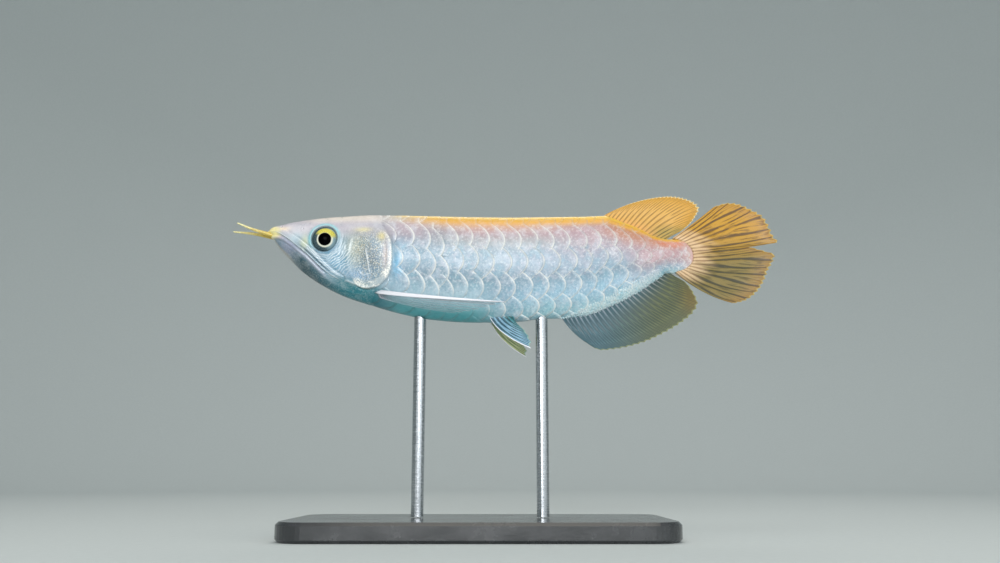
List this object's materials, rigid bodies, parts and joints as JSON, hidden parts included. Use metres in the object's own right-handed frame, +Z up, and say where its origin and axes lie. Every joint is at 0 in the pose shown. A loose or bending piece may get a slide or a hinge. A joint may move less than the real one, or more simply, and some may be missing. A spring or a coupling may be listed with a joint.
{
  "type": "asian arowana",
  "caption": "Young long-bodied freshwater fish with big silver scales, upturned mouth with barbels and golden rounded fins, swimming level on a two-rod display stand.",
  "frame": {"origin": "middle of the underside of the stand's base", "axes": "+Z up, the fish faces -X and its left side faces -Y"},
  "size_m": [0.1814, 0.06, 0.1116],
  "materials": {
    "skin": "wet silver skin of the head",
    "gill_cover": "bright silver plate with gold patches",
    "scales": "silver lavender scales with pale rims",
    "eye": "glossy, black pupil in a gold and grey iris",
    "barbel": "soft golden skin",
    "pale_fin": "pale bluish white fin",
    "gold_fin": "golden orange fin with olive streaks",
    "olive_fin": "grey olive fin with a pale margin",
    "stand_base": "satin dark grey lacquer",
    "stand_rod": "brushed"
  },
  "bodies": {
    "root": {"head": "skin", "lower_jaw": "skin", "gill_cover_left": "gill_cover", "gill_cover_right": "gill_cover", "eye_left": "eye", "eye_right": "eye", "barbel_left": "barbel", "barbel_right": "barbel", "trunk": "scales", "tail_stalk": "scales", "pectoral_fin_left": "pale_fin", "pectoral_fin_right": "pale_fin", "pelvic_fin_left": "pale_fin", "pelvic_fin_right": "pale_fin", "dorsal_fin": "gold_fin", "anal_fin": "olive_fin", "tail_fin": "gold_fin", "stand_base": "stand_base", "stand_rod_front": "stand_rod", "stand_rod_rear": "stand_rod"}
  },
  "joints": []
}
